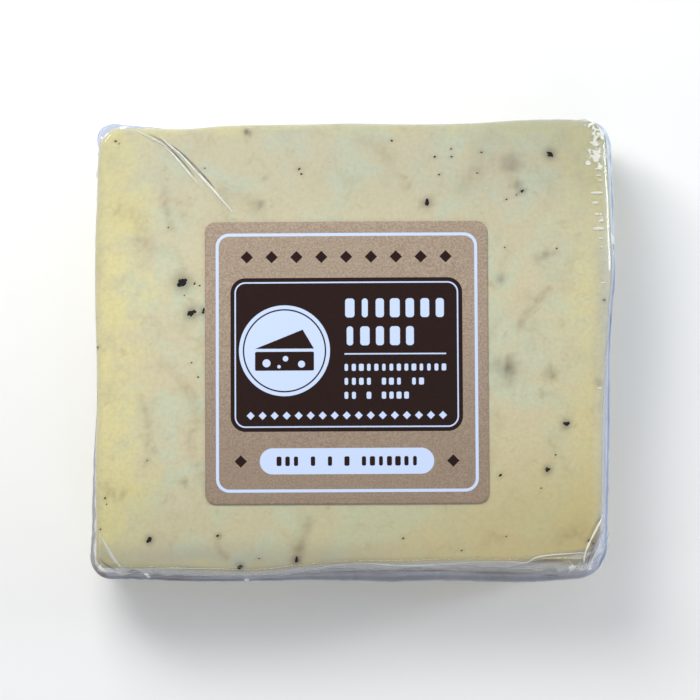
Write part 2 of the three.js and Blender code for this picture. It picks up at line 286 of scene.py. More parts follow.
def smooth_read(values, share):
    """A smooth reading of evenly spaced values, at a share from 0 to 1."""
    reach = clamp(share) * (len(values) - 1)
    i = min(int(reach), len(values) - 2)
    t = reach - i
    before, here, after = values[max(i - 1, 0)], values[i], values[i + 1]
    beyond = values[min(i + 2, len(values) - 1)]
    start, end = (after - before) / 2, (beyond - here) / 2
    return ((2 * here - 2 * after + start + end) * t ** 3
            + (-3 * here + 3 * after - 2 * start - end) * t ** 2 + start * t + here)


def smooth_path(points, share):
    """The point of a smooth curve through points, at a share from 0 to 1."""
    return Vector([smooth_read([point[axis] for point in points], share) for axis in range(len(points[0]))])


# The slab's shape

def worn_beyond(edge, x, y):
    """How far a point lies beyond a worn edge's line, and how far the face has fallen there."""
    (x0, y0), (x1, y1), fall = edge
    beyond = ((x - x0) * (y0 - y1) + (y - y0) * (x1 - x0)) / math.hypot(x1 - x0, y1 - y0)
    return beyond, fall * beyond * beyond / (beyond + WORN_SOFTNESS) if beyond > 0 else 0.0


def face_height(x, y):
    slow = math.cos(x / 21 + 0.6) * math.cos(y / 18 - 0.4)
    quick = math.sin(x / 9.5 + y / 13) * math.sin(y / 8 - x / 26)
    fallen = max(worn_beyond(edge, x, y)[1] for edge in WORN_EDGES)
    return SLAB_HEIGHT + HIGH_AND_LOW * (slow + 0.35 * quick - 0.4) - fallen


def round_corners(u, v, share_x, share_y):
    """Turns each corner of the square from -1 to 1 into a quarter disc, and tells the way outward there."""
    corner_x = max(0.0, abs(u) - 1 + share_x) / share_x
    corner_y = max(0.0, abs(v) - 1 + share_y) / share_y
    outward = Vector((math.copysign(corner_x, u), math.copysign(corner_y, v)))
    if corner_x > 0 and corner_y > 0:
        pull = max(corner_x, corner_y) / math.hypot(corner_x, corner_y)
        u = math.copysign(1 - share_x + corner_x * pull * share_x, u)
        v = math.copysign(1 - share_y + corner_y * pull * share_y, v)
    return u, v, outward.normalized()


def corner_toward(x, y):
    return CORNERS[("right" if x > 0 else "left") + (" back" if y > 0 else " front")]


class Plan:
    """A point of the slab's plan, with the way outward and its shares along the sides."""

    def __init__(self, u, v):
        radius = corner_toward(u, v)[2]
        u, v, self.out = round_corners(u, v, radius / HALF_X, radius / HALF_Y)
        s, t = (u + 1) / 2, (v + 1) / 2
        left_back, right_back = CORNERS["left back"], CORNERS["right back"]
        left_front, right_front = CORNERS["left front"], CORNERS["right front"]
        self.x, self.y = (lerp(lerp(left_front[axis], right_front[axis], s),
                               lerp(left_back[axis], right_back[axis], s), t) for axis in (0, 1))
        self.x += smooth_read(BOW["right"], t) * s ** 5 - smooth_read(BOW["left"], t) * (1 - s) ** 5
        self.y += smooth_read(BOW["back"], s) * t ** 5 - smooth_read(BOW["front"], s) * (1 - t) ** 5
        self.s, self.t = s, t

    def read(self, values):
        """A value that each side lists, on the outline."""
        side_x = values["right" if self.out.x > 0 else "left"]
        side_y = values["back" if self.out.y > 0 else "front"]
        return self.out.x ** 2 * smooth_read(side_x, self.t) + self.out.y ** 2 * smooth_read(side_y, self.s)

    def corner(self):
        """0 on a straight side and 1 in the middle of a corner."""
        return 4 * self.out.x ** 2 * self.out.y ** 2

    def ear(self):
        return self.corner() * corner_toward(self.out.x, self.out.y)[3]

    def from_corner(self):
        along_y = abs(self.out.x) > abs(self.out.y)
        return HALF_Y - abs(self.y) if along_y else HALF_X - abs(self.x)


def rounded_drop(radius, in_from_edge):
    over = clamp(radius - in_from_edge, 0, radius)
    return radius - math.sqrt(radius * radius - over * over)


# Meshes

def grid_line(index, lines, near_share, near_lines, crowding):
    """A grid line's place from -1 to 1, with the lines crowded toward both ends."""
    from_end = min(index, lines - index)
    near = near_share * (min(from_end, near_lines) / near_lines) ** crowding
    further = (1 - near_share) * max(0, from_end - near_lines) / (lines / 2 - near_lines)
    return (-1 if index < lines / 2 else 1) * (1 - near - further)


def grid_place(co, grid, near_share):
    """A box grid vertex's steps along x, y and up, then its crowded place in plan, from -1 to 1."""
    lines, near_lines, crowding = grid
    i, j, row = (round((part + 1) / 2 * count) for part, count in zip(co, lines))
    u = grid_line(i, lines[0], near_share, near_lines, crowding)
    v = grid_line(j, lines[1], near_share, near_lines, crowding)
    return i, j, row, u, v


def box_grid(lines):
    """A box from -1 to 1 whose faces are cut into an even grid."""
    mesh = bmesh.new()
    bmesh.ops.create_cube(mesh, size=2)
    for axis, count in enumerate(lines):
        along = [edge for edge in mesh.edges
                 if abs(edge.verts[0].co[axis] - edge.verts[1].co[axis]) > 1e-4]
        bmesh.ops.subdivide_edges(mesh, edges=along, cuts=count - 1, use_grid_fill=True)
    return mesh


def join_into(mesh, part):
    """Adds a part's faces to a mesh, and frees the part."""
    data = bpy.data.meshes.new("part")
    part.to_mesh(data)
    part.free()
    mesh.from_mesh(data)
    bpy.data.meshes.remove(data)


def finish_piece(name, mesh, values=None):
    """Makes an object of a mesh in millimetres. values holds lists of numbers, one for each vertex."""
    bmesh.ops.recalc_face_normals(mesh, faces=mesh.faces)
    bmesh.ops.scale(mesh, vec=(MM, MM, MM), verts=mesh.verts)
    for face in mesh.faces:
        face.smooth = True
    data = bpy.data.meshes.new(name)
    mesh.to_mesh(data)
    mesh.free()
    for key, numbers in (values or {}).items():
        data.attributes.new(key, "FLOAT", "POINT").data.foreach_set("value", numbers)
    piece = bpy.data.objects.new(name, data)
    bpy.context.scene.collection.objects.link(piece)
    return piece


def film_edge_radius(_plan):
    return TOP_EDGE_RADIUS


def slab_mesh(grid, side_point, inset=0.0, top_radius=film_edge_radius):
    """A box grid laid over the slab's face, sides and underside. side_point places a row of the sides."""
    mesh = box_grid(grid[0])
    plans = {}
    for vert in mesh.verts:
        i, j, row, u, v = grid_place(vert.co, grid, NEAR_SHARE)
        if (i, j) not in plans:
            plans[i, j] = Plan(u, v)
        plan = plans[i, j]
        in_from_edge = min((1 - abs(u)) * HALF_X, (1 - abs(v)) * HALF_Y)
        if in_from_edge < 1e-6:
            vert.co = side_point(plan, 1 - row / grid[0][2])
        elif row > 0:
            drop = rounded_drop(top_radius(plan), in_from_edge)
            vert.co = (plan.x, plan.y, face_height(plan.x, plan.y) - drop - inset)
        else:
            vert.co = (plan.x, plan.y, rounded_drop(BOTTOM_EDGE_RADIUS, in_from_edge) + inset)
    return mesh


# Cheese

def cheese_edge_radius(plan):
    """The rounding of the cheese's top edge: like the film's, but softer on the right."""
    return TOP_EDGE_RADIUS + 1.3 * smooth_step(0.8, 1.0, plan.s)


def cheese_side(plan, share):
    """A point of the cheese's cut side, at a share of the way down."""
    top = face_height(plan.x, plan.y) - cheese_edge_radius(plan) - FILM_TO_CHEESE
    z = lerp(top, BOTTOM_EDGE_RADIUS + FILM_TO_CHEESE, share)
    cut = 0.12 * noise.noise(Vector((plan.x / 7, plan.y / 7, z / 5)))
    out = -FILM_TO_CHEESE - 0.15 * math.sin(math.pi * share) + cut * math.sin(math.pi * share)
    return plan.x + plan.out.x * out, plan.y + plan.out.y * out, z


def blur_at(co):
    """How grey the cheese is at a point, by flecks below the surface and the oil round those that show."""
    grey = 0.0
    for x, y, radius, strength in SUNK_FLECKS:
        away = math.hypot(co.x - x, co.y - y)
        if away < 2.5 * radius:
            ragged = 1 + 0.6 * noise.noise(Vector((co.x / 1.4, co.y / 1.4, radius)))
            grey = max(grey, strength * math.exp(-((away * ragged / radius) ** 2) * 1.4))
    for x, y, length, width, _turn, _brown in FLECKS:
        radius = (length + width) / 2 * 0.95
        away = math.hypot(co.x - x, co.y - y)
        if away < 2.5 * radius:
            grey = max(grey, (0.6 if length > 0.9 else 0.3) * math.exp(-((away / radius) ** 2)))
    return grey


def seam_at(co, seams):
    """How strongly a point of the cheese is marked by the nearest seam."""
    mark = 0.0
    for line, half_width, strength in seams:
        away = min((co.xy - point).length for point in line)
        if away < 2.5 * half_width:
            ragged = 0.75 + 0.8 * noise.noise(Vector((co.x / 1.1, co.y / 1.1, 9.0)))
            mark = max(mark, strength * ragged * math.exp(-((away / half_width) ** 2)))
    return mark


def make_cheese():
    mesh = slab_mesh(CHEESE_GRID, cheese_side, FILM_TO_CHEESE, cheese_edge_radius)
    for vert in mesh.verts:
        pits = noise.noise(vert.co / 3.1) * 0.03 + noise.noise(vert.co / 1.3) * 0.015
        vert.co.z += pits if vert.co.z > SLAB_HEIGHT / 2 else abs(pits)
    seams = [([smooth_path(points, step / 12) for step in range(13)], half_width, strength)
             for points, half_width, strength in SEAMS]
    upper = [vert.co.z > SLAB_HEIGHT - 5 for vert in mesh.verts]
    grey = [blur_at(vert.co) if up else 0.0 for vert, up in zip(mesh.verts, upper)]
    seam = [seam_at(vert.co, seams) if up else 0.0 for vert, up in zip(mesh.verts, upper)]
    return finish_piece("cheese", mesh, {"grey": grey, "seam": seam})


def add_crumb(mesh, matrix, length, width, rng):
    """A flat crumb of truffle with an uneven outline."""
    made = bmesh.ops.create_icosphere(mesh, subdivisions=3 if length > 0.8 else 2, radius=1.0)["verts"]
    seed = Vector([rng.uniform(-50, 50) for _axis in range(3)])
    for vert in made:
        rough = 1 + 0.5 * noise.noise(vert.co * 1.2 + seed) + 0.3 * noise.noise(vert.co * 2.9 + seed)
        vert.co = Vector((vert.co.x * rough * length / 2, vert.co.y * rough * width / 2, vert.co.z * 0.14))
    bmesh.ops.transform(mesh, matrix=matrix, verts=made)
    return len(made)


def add_fleck(mesh, place, outward, length, width, turn, rng):
    """A fleck sunk in a surface that faces outward: a crumb, with smaller ones at its rim if it is large."""
    aim = Vector(outward).to_track_quat("Z", "Y").to_matrix().to_4x4()
    matrix = Matrix.Translation(place) @ aim @ Matrix.Rotation(turn, 4, "Z")
    if length < 0.9:
        return add_crumb(mesh, matrix, length, width, rng)
    count = add_crumb(mesh, matrix, length * 0.85, width * 0.85, rng)
    for _crumb in range(4):
        around = rng.uniform(0, 2 * math.pi)
        beside = Matrix.Translation((math.cos(around) * length * 0.36, math.sin(around) * width * 0.36, 0))
        size = rng.uniform(0.3, 0.5)
        count += add_crumb(mesh, matrix @ beside, size * length, size * length * 0.8, rng)
    return count


def make_flecks():
    """The flecks that the face shows, then others of like sizes on the cut sides and the underside."""
    mesh = bmesh.new()
    rng = random.Random(FLECK_SEED)
    brown = []
    for x, y, length, width, turn, brownness in FLECKS:
        place = (x, y, film_height(x, y) - FILM_TO_CHEESE - 0.06)
        brown += [brownness] * add_fleck(mesh, place, (0, 0, 1), length, width, math.radians(turn), rng)
    for u, v in ((1, None), (-1, None), (None, 1), (None, -1)):
        for _count in range(FLECKS_PER_SIDE):
            along = rng.uniform(-0.88, 0.88)
            plan = Plan(along if u is None else u, along if v is None else v)
            length = 0.35 + 1.5 * rng.random() ** 3
            width = length * rng.uniform(0.5, 0.9)
            place = Vector(cheese_side(plan, rng.uniform(0.1, 0.9))) - 0.06 * plan.out.to_3d()
            crumbs = add_fleck(mesh, place, plan.out.to_3d(), length, width, rng.uniform(0, 6), rng)
            brown += [rng.choice((0, 0, 0.6))] * crumbs
    for _count in range(FLECKS_BELOW):
        length = 0.35 + 1.6 * rng.random() ** 3
        width = length * rng.uniform(0.5, 0.9)
        place = (rng.uniform(-46, 46), rng.uniform(-40, 40), FILM_TO_CHEESE + 0.07)
        crumbs = add_fleck(mesh, place, (0, 0, -1), length, width, rng.uniform(0, 6), rng)
        brown += [rng.choice((0, 0, 0.6))] * crumbs
    return finish_piece("truffle_flecks", mesh, {"brown": brown})


# Film

def ridged(place):
    """Noise that peaks in thin ridges, from 0 to 1."""
    return (1 - abs(noise.noise(place))) ** 3


def gather(plan):
    strength = math.exp(-((plan.from_corner() / GATHER_REACH) ** 2))
    return GATHER_DEPTH * strength * math.cos(2 * math.pi * plan.from_corner() / GATHER_PITCH)


def seal_middle(plan):
    wave = math.sin((plan.x - plan.y) / 5.2) + 0.6 * math.sin((plan.x + plan.y) / 3.4)
    return SEAL_HEIGHT + SEAL_WAVE * wave


def wrinkle(plan, z):
    """How far the loose film is pushed in and out: long folds on the sides, upright ones at the corners."""
    along = ridged(Vector((plan.x / 17, plan.y / 17, z / 2.7))) - 0.5
    slant = ridged(Vector((plan.x / 7 + z / 3, plan.y / 7 - z / 3, z / 9 + 4))) - 0.5
    upright = ridged(Vector((plan.x / 2.8, plan.y / 2.8, z / 15))) - 0.5
    near_corner = math.exp(-((plan.from_corner() / 12) ** 2))
    return WRINKLE_DEPTH * (0.55 * along + 0.45 * slant + 0.9 * near_corner * upright)


def film_side(plan, share):
    """A point of the film's side, at a share of the way from the face's edge to the seal and back below."""
    stand_off = plan.read(STAND_OFF)
    tip = stand_off + plan.read(SEAL) + plan.ear()
    middle = seal_middle(plan)
    above = share < 0.5
    on_seal = abs(share - 0.5) < SEAL_SHARE
    way = 1 if above else -1
    if on_seal:
        reach = 1 - abs(share - 0.5) / SEAL_SHARE
        out = lerp(stand_off if above else stand_off * 0.95, tip, reach ** 0.8)
        pinch = (1 - min(1, reach * 3.2)) ** 2
        z = middle + way * (SEAL_THICKNESS / 2 + (SEAL_ROOT / 2 - SEAL_THICKNESS / 2) * pinch)
        flutter = noise.noise(Vector((plan.x / 2.3, plan.y / 2.3, 0.5)))
        z += reach * (0.42 * flutter + 0.16 * noise.noise(Vector((plan.x / 0.9, plan.y / 0.9, 3.0))))
        out += 0.12 * reach * noise.noise(Vector((plan.x / 1.7, plan.y / 1.7, 7.0)))
    else:
        down = (share if above else 1 - share) / (0.5 - SEAL_SHARE)
        end = face_height(plan.x, plan.y) - TOP_EDGE_RADIUS if above else BOTTOM_EDGE_RADIUS
        z = lerp(end, middle + way * SEAL_ROOT / 2, down)
        loose = math.sin(math.pi * min(1, down * 0.9)) ** 0.8
        out = stand_off * down ** 0.92 + loose * (gather(plan) * (1 if above else 0.6) + wrinkle(plan, z))
        out = max(out, 0.03)
    return plan.x + plan.out.x * out, plan.y + plan.out.y * out, z


def haze_and_painted_light_at(co, on_side):
    """How milky the film looks at a point, and so how strongly its painted light tone shows there: least on
    the face, most on the seal and where it is gathered.
    """
    nearest = min(HALF_X - abs(co.x), HALF_Y - abs(co.y))
    patchy = noise.noise(Vector((co.x / 2.4, co.y / 2.4, co.z / 6)))
    milk = 0.12 * smooth_step(2.0, -0.5, nearest)
    worn = lerp(0.12, 0.3, smooth_step(40.0, 47.0, co.x))
    for edge in WORN_EDGES:
        slack = smooth_step(-0.2, 1.0, worn_beyond(edge, co.x, co.y)[0]) * smooth_step(15.0, 20.0, co.z)
        milk += worn * edge[2] ** 2 / 0.5 * slack * (1 + 0.5 * patchy)
    milk += 0.17 * smooth_step(47.0, 50.5, co.x) * smooth_step(24.0, 16.0, co.y)
    if on_side:
        off_seal = abs(co.z - SEAL_HEIGHT)
        side = MILK_AND_REFLECTION_RIGHT * smooth_step(46.0, 50.0, co.x) + MILK_AND_REFLECTION_EAR * by_ear(co)
        side += MILK_AND_SHADE_FRONT * smooth_step(*FRONT_FILM, co.y)
        side *= smooth_step(8.5, 10.5, co.z)
        milk = max(milk, MILK_ANYWHERE + side + 0.1 * patchy) + MILK_SEAL * smooth_step(1.7, 0.6, off_seal)
    return clamp(milk)


def by_ear(co):
    """1 at the back left ear and 0 away from it."""
    return smooth_step(10.0, 5.0, math.hypot(co.x - EAR_PLACE[0], co.y - EAR_PLACE[1]))


def painted_light_tone_at(co):
    """The milky film's painted light tone: a painted sky-blue reflection at the right and faintly at the back
    left ear, painted dusky shade at the left and the front, and a painted shadow line low on the front film.
    """
    right = smooth_step(50.0, 51.6, co.x) * lerp(0.08, 0.6, smooth_step(12.0, 26.0, co.y))
    left = lerp(0.4, 0.7, smooth_step(-30.0, -42.0, co.y))
    left *= smooth_step(-49.0, -51.0, co.x) * smooth_step(40.0, 36.0, co.y)
    front = 0.3 * smooth_step(-39.5, -42.0, co.y) * smooth_step(50.0, 46.0, co.x)
    low = 0.2 * smooth_step(*FRONT_FILM, co.y) * smooth_step(16.0, 14.0, co.z) * smooth_step(11.8, 12.6, co.z)
    return right + 0.08 * by_ear(co) - max(left, front) - low


def glint_at(co):
    """How near a point is to the middle of a glint, from 0 to 1."""
    return max(clamp(1 - math.hypot(co.x - x, co.y - y) / (1.5 * reach)) for x, y, reach in GLINTS)


def add_ridge(mesh, points, half_width, height, steps=40):
    """A thin ridge of film that follows a path, pointed at both ends. Returns how many vertices it has."""
    ridge = box_grid((*RIDGE_GRID, steps))
    for vert in ridge.verts:
        share = (vert.co.z + 1) / 2
        middle = smooth_path(points, share)
        behind = smooth_path(points, max(0, share - 0.02))
        ahead = smooth_path(points, min(1, share + 0.02))
        way = (ahead - behind).normalized()
        full = math.sin(math.pi * clamp(share, 0.012, 0.988)) ** 0.6
        uneven = full * (1 + 0.35 * noise.noise(Vector((share * 9, middle.x, middle.y))))
        around = math.hypot(vert.co.x, vert.co.y)
        pull = max(abs(vert.co.x), abs(vert.co.y)) / around if around > 0 else 0
        aside = vert.co.x * pull * half_width * uneven
        x, y = middle.x - way.y * aside, middle.y + way.x * aside
        vert.co = (x, y, film_height(x, y) - 0.02 + vert.co.y * pull * height * uneven)
    count = len(ridge.verts)
    join_into(mesh, ridge)
    return count


def film_height(x, y):
    """The height of the film over a point of the plan, on the face or a little beyond its edge."""
    s = (x - CORNERS["left back"][0]) / (2 * HALF_X)
    t = (y - CORNERS["right front"][1]) / (2 * HALF_Y)
    within = {
        "right": lerp(CORNERS["right front"][0], CORNERS["right back"][0], t) - x,
        "left": x - lerp(CORNERS["left front"][0], CORNERS["left back"][0], t),
        "back": lerp(CORNERS["left back"][1], CORNERS["right back"][1], s) - y,
        "front": y - lerp(CORNERS["left front"][1], CORNERS["right front"][1], s),
    }
    for side, share in (("right", t), ("left", t), ("back", s), ("front", s)):
        within[side] += smooth_read(BOW[side], share)
    side = min(within, key=within.get)
    inside = within[side]
    height = face_height(x, y) - rounded_drop(TOP_EDGE_RADIUS, max(inside, 0))
    if inside < 0:
        stand_off = smooth_read(STAND_OFF[side], t if side in ("right", "left") else s)
        height = lerp(height, SEAL_HEIGHT, clamp((-inside / stand_off) ** 1.09))
    return height


def make_film():
    mesh = slab_mesh(FILM_GRID, film_side)
    # For each vertex: the film's milkiness, which is also how strongly its painted light shows, its painted
    # light tone and where glints are painted; creases carry painted highlights and painted shadow lines,
    # ripples painted highlights
    milk = [haze_and_painted_light_at(vert.co, 0.5 < vert.co.z < SLAB_HEIGHT - 1.8) for vert in mesh.verts]
    painted_light_tones = [painted_light_tone_at(vert.co) for vert in mesh.verts]
    glint = [glint_at(vert.co) if vert.co.z > SEAL_HEIGHT - 1 else 0 for vert in mesh.verts]
    for points, half_width, height, white, tone in CREASES:
        count = add_ridge(mesh, points, half_width, height)
        milk += [white] * count
        painted_light_tones += [tone] * count
    for y, inner, outer, half_width in RIPPLES:
        count = add_ridge(mesh, ((inner, y), (outer, y + 0.1)), half_width, RIPPLE_HEIGHT, steps=14)
        milk += [RIPPLE_PAINTED_HIGHLIGHT] * count
        painted_light_tones += [1.0] * count
    glint += [0] * (len(milk) - len(glint))
    return finish_piece("film", mesh, {"milk": milk, "tone": painted_light_tones, "glint": glint})


# Label

def make_label():
    share = 2 * LABEL_CORNER_RADIUS / LABEL_SIDE
    mesh = box_grid(LABEL_GRID[0])
    turn = Matrix.Rotation(LABEL_TURN, 2)
    for vert in mesh.verts:
        _i, _j, row, u, v = grid_place(vert.co, LABEL_GRID, share)
        u, v, _out = round_corners(u, v, share, share)
        x, y = turn @ Vector((u, v)) * LABEL_SIDE / 2 + Vector(LABEL_CENTRE)
        rim = (1 - max(abs(u), abs(v))) * LABEL_SIDE / 2
        thinned = lerp(LABEL_RIM_SHARE, 1.0, smooth_step(0.0, LABEL_RIM, rim))
        lift = LABEL_THICKNESS * (0, 0.6, 1)[row] * thinned
        vert.co = (x, y, face_height(x, y) + LABEL_GAP + lift)
    return finish_piece("paper_sticker", mesh)


# Shader sums

class Value:
    """A socket of a finish. Sums on it add Math nodes."""

    def __init__(self, finish, socket):
        self.finish = finish
        self.socket = socket

    def math(self, operation, *others):
        sockets = dict(enumerate((self, *others)))
        return self.finish.node("ShaderNodeMath", {"operation": operation}, sockets)

    def __add__(self, other):
        return self.math("ADD", other)

    def __sub__(self, other):
        return self.math("SUBTRACT", other)

    def __rsub__(self, other):
        return self.finish.node("ShaderNodeMath", {"operation": "SUBTRACT"}, {0: other, 1: self})

    def __mul__(self, other):
        return self.math("MULTIPLY", other)

    def __truediv__(self, other):
        return self.math("DIVIDE", other)

    def __pow__(self, other):
        return self.math("POWER", other)

    __radd__ = __add__
    __rmul__ = __mul__


class Finish:
    """A material in the making."""

    def __init__(self, name):
        self.material = bpy.data.materials.new(name)
        self.material.use_nodes = True
        self.tree = self.material.node_tree
        self.tree.nodes.clear()

    def node(self, kind, settings=None, sockets=None, output=0):
        """Adds a node: its settings are set first, then its sockets, each to a number, a tuple or a link."""
        node = self.tree.nodes.new(kind)
        for key, setting in (settings or {}).items():
            if key == "stops":
                self.set_stops(node.color_ramp, setting)
            else:
                setattr(node, key, setting)
        for key, value in (sockets or {}).items():
            if isinstance(value, Value):
                self.tree.links.new(value.socket, node.inputs[key])
            else:
                node.inputs[key].default_value = value
        return Value(self, node.outputs[output]) if len(node.outputs) else node

    def set_stops(self, ramp, stops):
        while len(ramp.elements) < len(stops):
            ramp.elements.new(1.0)
        for element, (place, colour) in zip(ramp.elements, stops):
            element.position = place
            element.color = colour

    def mix(self, share, a, b, blend="MIX"):
        """Mixes two colours."""
        settings = {"data_type": "RGBA", "blend_type": blend}
        return self.node("ShaderNodeMix", settings, {0: share, 6: a, 7: b}, 2)

    def ease(self, value, low, high, to_low=0.0, to_high=1.0):
        """Maps a value smoothly from low..high onto to_low..to_high."""
        sockets = {0: value, 1: low, 2: high, 3: to_low, 4: to_high}
        return self.node("ShaderNodeMapRange", {"interpolation_type": "SMOOTHSTEP"}, sockets)

    def attribute(self, name):
        """A number that the mesh holds for each vertex."""
        return self.node("ShaderNodeAttribute", {"attribute_name": name}, output=2)

    def place(self, offset=(0, 0, 0), turn=0.0, stretch=(1, 1, 1)):
        """The piece's own coordinates in millimetres."""
        place = self.node("ShaderNodeTexCoord", output=3)
        scale = tuple(size / MM for size in stretch)
        shift = tuple(-part for part in offset)
        sockets = {0: place, 1: shift, 2: (0, 0, -turn), 3: scale}
        return self.node("ShaderNodeMapping", {"vector_type": "POINT"}, sockets)

    def noise(self, place, scale, detail=2.0, roughness=0.5, distortion=0.0):
        sockets = {"Vector": place, "Scale": scale, "Detail": detail, "Roughness": roughness,
                   "Distortion": distortion}
        return self.node("ShaderNodeTexNoise", sockets=sockets)

    def noise_colour(self, place, scale, detail):
        """Three noises at once, for pushing a place about."""
        sockets = {"Vector": place, "Scale": scale, "Detail": detail}
        return self.node("ShaderNodeTexNoise", sockets=sockets, output=1)

    def axes(self, place):
        parts = self.node("ShaderNodeSeparateXYZ", sockets={0: place})
        outputs = parts.socket.node.outputs
        return [Value(self, outputs[axis]) for axis in range(3)]

    def bump(self, height, distance, strength=1.0):
        sockets = {"Height": height, "Distance": distance * MM, "Strength": strength}
        return self.node("ShaderNodeBump", sockets=sockets)

    def output(self, shader):
        self.node("ShaderNodeOutputMaterial", sockets={0: shader})
        return self.material


def rgb(red, green, blue):
    """A colour as a screen shows it, from 0 to 255, made linear."""
    return tuple(((part / 255 + 0.055) / 1.055) ** 2.4 for part in (red, green, blue)) + (1.0,)


# Finishes

PALE_GREEN = rgb(207, 209, 179)
BEIGE = rgb(214, 204, 169)
BUTTER = rgb(224, 214, 157)
OCHRE = rgb(213, 193, 132)
OLIVE_SHADE = (0.89, 0.9, 0.86, 1.0)
JOINT_SHADE = rgb(172, 158, 120)
# Painted shade, darker at the back of the face and along its front edge
FAR_SHADE = (0.88, 0.9, 0.95, 1.0)
FRONT_SHADE = (0.76, 0.77, 0.88, 1.0)
# Colours of the milky film along its painted light tone: painted dusky shade, the film's own lavender grey
# haze, a painted sky-blue reflection and a creamy white painted highlight
FILM_HAZE_AND_PAINTED_LIGHT = (
    (0.0, rgb(124, 104, 92)),
    (0.5, rgb(190, 197, 216)),
    (0.75, rgb(204, 218, 236)),
    (1.0, rgb(250, 250, 244)),
)
# White print, tinted blue by a painted sky reflection
SKY_TINTED_WHITE_INK = rgb(204, 220, 251)
DARK_INK = rgb(41, 26, 24)


def cheese_finish():
    """Pale paste in soft clouds of greenish white and beige, buttery at the edges, with faint curd joints."""
    paint = Finish("goat_cheese")
    place = paint.place()
    x, y, _z = paint.axes(place)
    drift = paint.noise(place, 0.13, 4.0, 0.6, 0.5)
    cloud = paint.noise(paint.place(offset=(37, 5, 0)), 0.085, 3.0, 0.55, 0.7)
    grain = paint.noise(place, 1.1, 5.0, 0.7)
    colour = paint.mix(paint.ease(cloud, 0.4, 0.6), BEIGE, PALE_GREEN)
    to_edge = (50.5 - x.math("ABSOLUTE")).math("MINIMUM", (45.2 - y.math("ABSOLUTE")) * 4.0)
    left = paint.ease(x, 10.0, -35.0, 0.6, 1.0)
    colour = paint.mix(paint.ease(to_edge + 26 * (drift - 0.5), 13.0, 1.0) * left, colour, BUTTER)
    warm = paint.ease(paint.noise(place, 0.11, 3.0, 0.6, 0.3), 0.53, 0.64)
    colour = paint.mix(warm * 0.5, colour, BEIGE)
    low_right = paint.ease(x * 0.6 - y + 14 * (drift - 0.5), 24.0, 66.0)
    colour = paint.mix(low_right * 0.7, colour, OCHRE)
    low = paint.ease(y + 16 * (drift - 0.5), -18.0, -38.0)
    far_corner = paint.ease(x + y * 1.6 + 30 * (drift - 0.5), 84.0, 112.0)
    colour = paint.mix(low.math("MAXIMUM", far_corner), colour, OLIVE_SHADE, "MULTIPLY")
    # Painted shade: darker towards the back of the face and along its front edge
    colour = paint.mix(paint.ease(y + 12 * (drift - 0.5), 12.0, 38.0), colour, FAR_SHADE, "MULTIPLY")
    front = paint.ease(y + 4 * (drift - 0.5), -37.5, -43.0) * paint.ease(x, 24.0, -8.0, 0.25, 1.0)
    colour = paint.mix(front, colour, FRONT_SHADE, "MULTIPLY")
    warp = paint.node("ShaderNodeVectorMath", {"operation": "MULTIPLY_ADD"}, {
        0: paint.noise_colour(place, 0.3, 2.0), 1: (5.0, 5.0, 5.0), 2: place})
    joints = paint.node("ShaderNodeTexVoronoi", {"feature": "DISTANCE_TO_EDGE"}, {
        "Vector": warp, "Scale": 0.13})
    joints = paint.ease(joints, 0.2, 0.0) * paint.ease(drift, 0.45, 0.65)
    colour = paint.mix(joints * 0.2, colour, JOINT_SHADE)
    smudge = paint.ease(paint.noise(place, 0.34, 4.0, 0.62, 0.8), 0.57, 0.72)
    colour = paint.mix(smudge * 0.3, colour, JOINT_SHADE)
    colour = paint.mix(paint.ease(grain, 0.35, 0.7) * 0.22, colour, JOINT_SHADE)
    seam = paint.attribute("seam")
    colour = paint.mix(seam, colour, rgb(142, 116, 84))
    grey = paint.attribute("grey")
    colour = paint.mix(grey, colour, rgb(70, 64, 60))
    bump = paint.bump(grain * 0.6 + drift, 0.12, 0.5)
    shader = paint.node("ShaderNodeBsdfPrincipled", sockets={
        "Base Color": colour, "Roughness": 0.5, "Normal": bump, "IOR": 1.4})
    return paint.output(shader)


def truffle_finish():
    """Near-black truffle, with some small flecks brown."""
    paint = Finish("black_truffle")
    place = paint.place()
    crumb = paint.noise(place, 2.6, 3.0, 0.6)
    brown = paint.attribute("brown")
    dark = paint.mix(paint.ease(crumb, 0.45, 0.7), rgb(14, 10, 9), rgb(40, 28, 22))
    colour = paint.mix(brown, dark, rgb(96, 66, 44))
    bump = paint.bump(crumb, 0.1, 0.6)
    shader = paint.node("ShaderNodeBsdfPrincipled", sockets={
        "Base Color": colour, "Roughness": 0.7, "Normal": bump, "Specular IOR Level": 0.2})
    return paint.output(shader)


